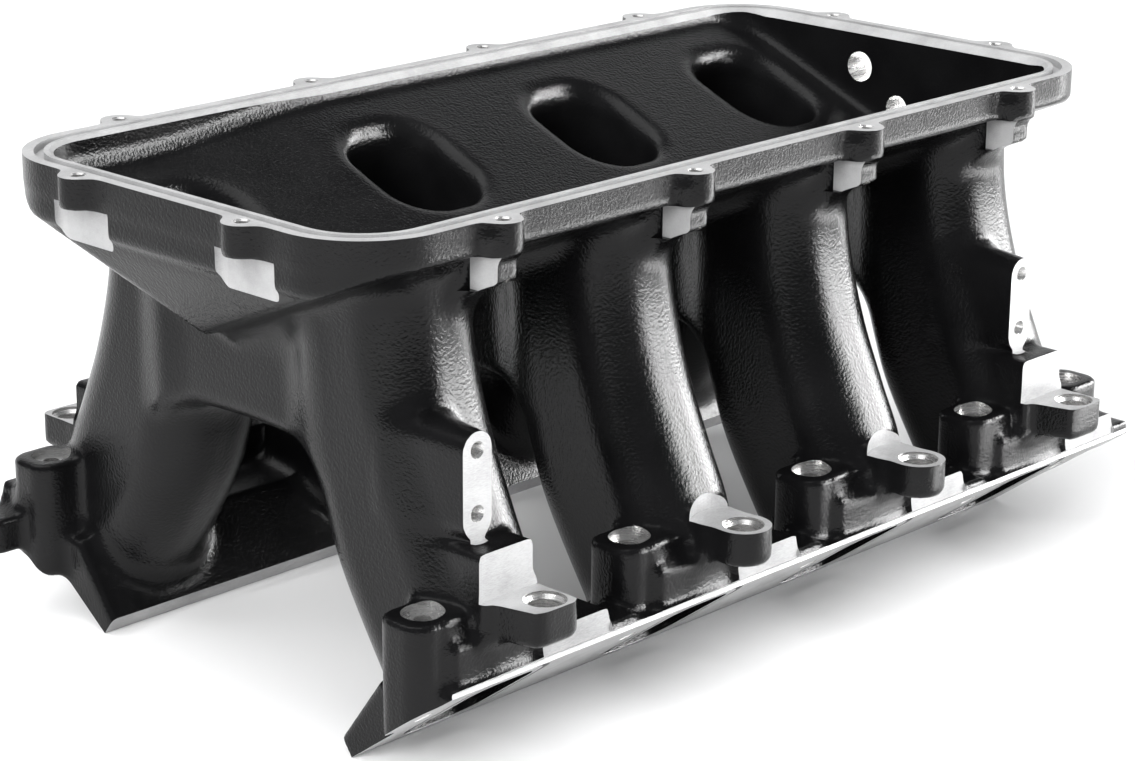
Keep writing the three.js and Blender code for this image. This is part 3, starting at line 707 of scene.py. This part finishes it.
# tops of the pads, outer faces of the ears and of the stands
pads = Tool()
for i, x in enumerate(PORTS):
    if i in RAIL_STANDS:
        pads.prism(rect(x - 40, x + 13, -175, -135.5), along_z, H - INJ_TOP, H - 105,
                   ([CAST, CAST, BRIGHT, CAST], BRIGHT, CAST), both=True)
    else:
        pads.lathe([(21.5, 0), (21.5, 22)], lambda a, b, t: (x + a, -INJ_Y + b, H - INJ_TOP + t), 64,
                   BRIGHT, both=True)
    pads.prism(rect(x + EAR[0], x + EAR[1] + 1, -150, -140), along_z, H - 169, H - 153, both=True)
for i in RAIL_STANDS:
    x = PORTS[i] + STAND_SHIFT
    pads.prism(rect(x - 14, x + 14, -140, -STAND_Y), along_z, H - 116, H - 66, both=True)
cut(casting, pads)


def threads(r, start, pitch, count):
    """(radius, along) points of a threaded wall, as rings."""
    out = []
    for k in range(count):
        out += [(r, start + k * pitch), (r - 0.35, start + (k + 0.5) * pitch)]
    return out


# bolt holes, injector bores, threaded holes and the seals' grooves
holes = Tool()
for x in BOLTS:
    profile = [
        (BOLT_HOLE, -60), (BOLT_HOLE, -BOLT_SEAT_DEPTH), (BOLT_SEAT, -BOLT_SEAT_DEPTH), (BOLT_SEAT, 12)]
    holes.lathe(profile, lambda a, b, t: (x + a, -BOLT_Y + b, H - BOLT_TOP + t), 40, both=True)
for x in PORTS:
    profile = [
        (3.0, -14.0), (6.6, -12.6), (6.8, -12), (6.8, -2.6), (8.4, -1.2), (8.4, 0.0), (8.8, 0.5), (8.8, 4)]
    holes.lathe(profile, lambda a, b, t: (x + a, -INJ_Y + b, H - INJ_TOP + t), 48, both=True)
for i in RAIL_STANDS:
    x = PORTS[i] + STAND_SHIFT
    for depth in STAND_HOLES:
        profile = [(0.3, -13), (2.7, -11)] + threads(3.0, -10.5, 1.0, 10)
        profile += [(3.0, -0.5), (3.5, 0.1), (3.5, 3)]
        holes.lathe(profile, lambda a, b, t: (x + a, -STAND_Y - t, H - depth + b), 28, both=True)
for y, depth, r in REAR_PORTS:
    profile = [(r, -30)] + threads(r, -16, 1.4, 11) + [(r, -0.8), (r + 0.9, 0.2), (r + 0.9, 8)]
    holes.lathe(profile, lambda a, b, t: (RIM_X + t, y + a, H - depth + b), 40)
land, reach, depth_in = SEAL_GROOVE
seal_outer, seal_inner = [
    rounded(PORT_HALF_X + grow, PORT_HALF_SLOPE + grow, PORT_R + grow, 8) for grow in (reach, land)]
for x in PORTS:
    def on_face(a, b, t):
        out, depth = face_at(PORT_MIDDLE + b, t)
        return x + a, -out, H - depth

    holes.ring(seal_outer, seal_inner, on_face, -depth_in, depth_in, both=True)
cut(casting, holes)

# ---------------------------------------------------------------- the casting in its named pieces
def take(name, outlines, place, low, high, both=False):
    """Splits off the part of the casting inside the outlines swept from low to high."""
    tool = Tool()
    for outline in outlines:
        tool.prism(outline, place, low, high, (SEAM, SEAM, SEAM), both)
    return split_off(casting, tool, name)


pieces = {}
pieces["rim_flange"] = take("rim_flange", [rect(-FAR, FAR, -FAR, FAR)], along_z, H - RIM_DEPTH, H + 20)

border = 101
keel_z = H - KEEL - 0.6
border_z = keel_z + border * RISE
tray = [(0, keel_z), (border, border_z), (border, H - 36), (150, H - 36), (150, H + 10), (-150, H + 10),
        (-150, H - 36), (-border, H - 36), (-border, border_z)]
pieces["plenum_tray"] = take("plenum_tray", [tray], along_x, -FAR, FAR)

flange_cut = section([
    face_at(-12, -6), face_at(-12, FLANGE_THICK), face_at(0, FLANGE_THICK), (98, 173), (134, 167.2),
    (150, 167.2), face_at(95, -6)])
pieces["head_flange"] = take("head_flange", [flange_cut], along_x, -FAR, FAR, both=True)

boss_plans = [rect(x - 14.6, x + 14.6, -140, -106) for x in BOLTS]
pieces["bolt_boss"] = take("bolt_boss", boss_plans, along_z, 0, H - 138.5, both=True)

stand_xs = [PORTS[i] + STAND_SHIFT for i in RAIL_STANDS]
stand_plans = [rect(x - 9, x + 9, -140, -113) for x in stand_xs]
pieces["rail_stand"] = take("rail_stand", stand_plans, along_z, H - 115.5, H - 71, both=True)

pad_plans = [rect(x - 21.4, x + 62, -170, -128) for x in PORTS]
pieces["injector_boss"] = take("injector_boss", pad_plans, along_z, 10, H - 116, both=True)

web_xs = [(PORTS[i] - PORTS[3 - i]) / 2 for i in range(4)]
web_plans = [rect(x - 34, x + 34, -33, 33) for x in web_xs]
pieces["centre_web"] = take("centre_web", web_plans, along_z, H - 118, H - 30)

# what is left is the runners, which meet halfway between two ports
runners = {}
for i, x in enumerate(PORTS):
    low = -FAR if i == 0 else x - PITCH / 2
    high = FAR if i == 3 else x + PITCH / 2
    for name, plan_box in ((f"runner_left_{i + 1}", rect(low, high, -FAR, 0)),
                           (f"runner_right_{4 - i}", rect(-high, -low, 0, FAR))):
        runners[name] = take(name, [plan_box], along_z, -60, H + 60)
bpy.data.objects.remove(casting)


def centres():
    """Where each named piece lies: group -> [(name, x, y)]."""
    out = {"rim_flange": [("rim_flange", 0, 0)], "plenum_tray": [("plenum_tray", 0, 0)],
           "head_flange": [("head_flange_left", 0, -108), ("head_flange_right", 0, 108)],
           "bolt_boss": [], "injector_boss": [], "rail_stand": []}

    def pair(group, places, y):
        count = len(places)
        for i, x in enumerate(places):
            out[group].append((f"{group}_left_{i + 1}", x, -y))
            out[group].append((f"{group}_right_{count - i}", -x, y))

    pair("bolt_boss", BOLTS, 119)
    pair("injector_boss", [x + 12 for x in PORTS], 145)
    pair("rail_stand", stand_xs, 120)
    out["centre_web"] = [(f"centre_web_{i + 1}", x, 0) for i, x in enumerate(web_xs)]
    return out


def loose_parts(obj):
    """The separate bodies of a mesh, as objects."""
    for o in bpy.context.scene.objects:
        o.select_set(False)
    obj.select_set(True)
    bpy.context.view_layer.objects.active = obj
    before = set(bpy.data.objects)
    bpy.ops.mesh.separate(type="LOOSE")
    return [obj] + [o for o in bpy.data.objects if o not in before]


def middle_of(obj):
    """Middle of a mesh's box, in millimetres."""
    co = np.empty(len(obj.data.vertices) * 3)
    obj.data.vertices.foreach_get("co", co)
    co = co.reshape(-1, 3)
    return (co.min(0) + co.max(0)) * 500


def merged(name, objects):
    """One object of the objects' meshes, with the casting's materials."""
    bm = bmesh.new()
    for o in objects:
        bm.from_mesh(o.data)
    mesh = bpy.data.meshes.new(name)
    bm.to_mesh(mesh)
    bm.free()
    for m in SLOTS:
        mesh.materials.append(m)
    for o in objects:
        bpy.data.objects.remove(o)
    piece = bpy.data.objects.new(name, mesh)
    bpy.context.scene.collection.objects.link(piece)
    return piece


def shade(mesh):
    """Cast faces take the field's own slope, so seams and cuts don't show; machined faces stay flat."""
    count, corners = len(mesh.polygons), len(mesh.loops)
    co = np.empty(len(mesh.vertices) * 3)
    mesh.vertices.foreach_get("co", co)
    slope = gradient(co.reshape(-1, 3) * 1000)
    vert = np.empty(corners, int)
    mesh.loops.foreach_get("vertex_index", vert)
    normal = np.empty(count * 3)
    mesh.polygons.foreach_get("normal", normal)
    total = np.empty(count, int)
    mesh.polygons.foreach_get("loop_total", total)
    index = np.empty(count, int)
    mesh.polygons.foreach_get("material_index", index)
    flat = np.repeat(normal.reshape(-1, 3), total, axis=0)
    soft = slope[vert]
    keep = (np.repeat(index, total) == CAST) & ((flat * soft).sum(1) > 0.35)
    mesh.polygons.foreach_set("use_smooth", np.ones(count, bool))
    mesh.normals_split_custom_set(np.where(keep[:, None], soft, flat).tolist())


# the other groups' loose parts go to the piece they lie nearest
sets = {name: [piece] for name, piece in runners.items()}
for group, places in centres().items():
    sets.update({name: [] for name, _, _ in places})
    for part in loose_parts(pieces[group]):
        m = middle_of(part)
        name = min(places, key=lambda p: math.hypot(m[0] - p[1], m[1] - p[2]))[0]
        sets[name].append(part)
for name, objects in sets.items():
    piece = merged("casting_" + name, objects)
    shade(piece.data)
    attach(piece, "root")
    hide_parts(name)

# the seals keep their solids' shape
for name, node in frame["nodes"].items():
    if name.startswith("port_seal"):
        node.data.materials.clear()
        node.data.materials.append(RUBBER_M)

# ---------------------------------------------------------------- floor, metres
# flat under the object, then curving up behind it into a wall
FLOOR_NEAR, FLOOR_FAR, FLOOR_BEND, FLOOR_HALF, WALL_TOP = -6, 5.0, 1.5, 9, 6
quarter = [math.pi / 2 * k / 12 for k in range(1, 13)]
steps = [(FLOOR_NEAR, 0), (FLOOR_FAR, 0)]
steps += [(FLOOR_FAR + FLOOR_BEND * math.sin(a), FLOOR_BEND - FLOOR_BEND * math.cos(a)) for a in quarter]
steps += [(FLOOR_FAR + FLOOR_BEND, WALL_TOP)]
away = np.array([0.72, 0.694])  # from the camera
across = np.array([-0.694, 0.72])
verts = []
for d, height in steps:
    for sideways in (-FLOOR_HALF, FLOOR_HALF):
        x, y = away * d + across * sideways
        verts.append((x, y, height - 0.0003))
floor_mesh = bpy.data.meshes.new("floor")
floor_mesh.from_pydata(verts, [], [(2 * k, 2 * k + 1, 2 * k + 3, 2 * k + 2) for k in range(len(steps) - 1)])
floor_mesh.polygons.foreach_set("use_smooth", np.ones(len(steps) - 1, bool))
floor = bpy.data.objects.new("floor", floor_mesh)
bpy.context.scene.collection.objects.link(floor)


def floor_material():
    m, tree, shader, coords = material("studio_floor")
    shader.inputs["Roughness"].default_value = 0.55
    shader.inputs["Specular IOR Level"].default_value = 0.2
    faint = noise(tree, coords.outputs["Object"], 3.0, 2.0, 0.5)
    colour = mixed(tree, faint, (0.84, 0.84, 0.843), (0.87, 0.87, 0.87))
    tree.links.new(colour, shader.inputs["Base Color"])
    return m


floor_mesh.materials.append(floor_material())

# ---------------------------------------------------------------- light
scene = bpy.context.scene
scene.view_settings.view_transform = "Standard"
world = bpy.data.worlds.new("studio")
scene.world = world
world.use_nodes = True
background = world.node_tree.nodes["Background"]
background.inputs["Color"].default_value = (0.93, 0.96, 1.0, 1)
background.inputs["Strength"].default_value = 0.13


def area(name, at, size_x, size_y, power, target=(0, 0, 0.08)):
    """A rectangular light that faces the target, its long side level."""
    data = bpy.data.lights.new(name, "AREA")
    data.shape = "RECTANGLE"
    data.size = size_x
    data.size_y = size_y
    data.energy = power
    obj = bpy.data.objects.new(name, data)
    scene.collection.objects.link(obj)
    z_axis = np.array(at, float) - np.array(target, float)
    z_axis /= np.linalg.norm(z_axis)
    x_axis = np.cross((0, 0, 1), z_axis)
    x_axis /= np.linalg.norm(x_axis)
    y_axis = np.cross(z_axis, x_axis)
    rows = [(x_axis[k], y_axis[k], z_axis[k], at[k]) for k in range(3)]
    obj.matrix_world = Matrix(rows + [(0, 0, 0, 1)])
    return obj


area("top", (-0.4, 0.7, 2.3), 2.3, 2.3, 34)
# seen only as bands of light in the black coat
strip = area("side_strip", (1.25, -1.0, 0.42), 1.9, 0.6, 104, (0, 0, 0.2))
corner = area("corner", (1.6, -1.1, 1.25), 0.45, 0.9, 56)
panel = area("low_panel", (0.8, -0.35, 0.004), 1.4, 0.16, 9)
panel.matrix_world = Matrix.Translation((0.8, -0.35, 0.004)) @ Matrix.Rotation(math.pi, 4, "X")
for light in (strip, corner, panel):
    light.visible_diffuse = False
# never seen in reflections: the fill on bare metal and on the floor
key = area("left_key", (-2.7, -1.0, 1.3), 1.4, 1.4, 100)
sky_data = bpy.data.lights.new("sky", "SUN")
sky_data.energy = 3.0
sky_data.angle = 1.5
sky = bpy.data.objects.new("sky", sky_data)
scene.collection.objects.link(sky)
sky.rotation_euler = (math.radians(20), math.radians(-14), 0)
for light in (key, sky):
    light.visible_glossy = False
for light in (strip, corner, panel, key, sky):
    light.visible_camera = False

# ---------------------------------------------------------------- camera
CAMERA_AT = (-0.92888, -0.88850, 0.49885)
CAMERA_AZIMUTH = -136.0713  # of the camera as seen from what it looks at, degrees from the x axis
CAMERA_ELEVATION = 17.8406
CAMERA_ROLL = 0.4147
camera_data = bpy.data.cameras.new("camera")
camera_data.lens = 97.63
camera_data.sensor_width = 36
camera = bpy.data.objects.new("camera", camera_data)
scene.collection.objects.link(camera)
camera.matrix_world = (
    Matrix.Translation(CAMERA_AT)
    @ Matrix.Rotation(math.radians(90 + CAMERA_AZIMUTH), 4, "Z")
    @ Matrix.Rotation(math.radians(90 - CAMERA_ELEVATION), 4, "X")
    @ Matrix.Rotation(math.radians(CAMERA_ROLL), 4, "Z"))
scene.camera = camera
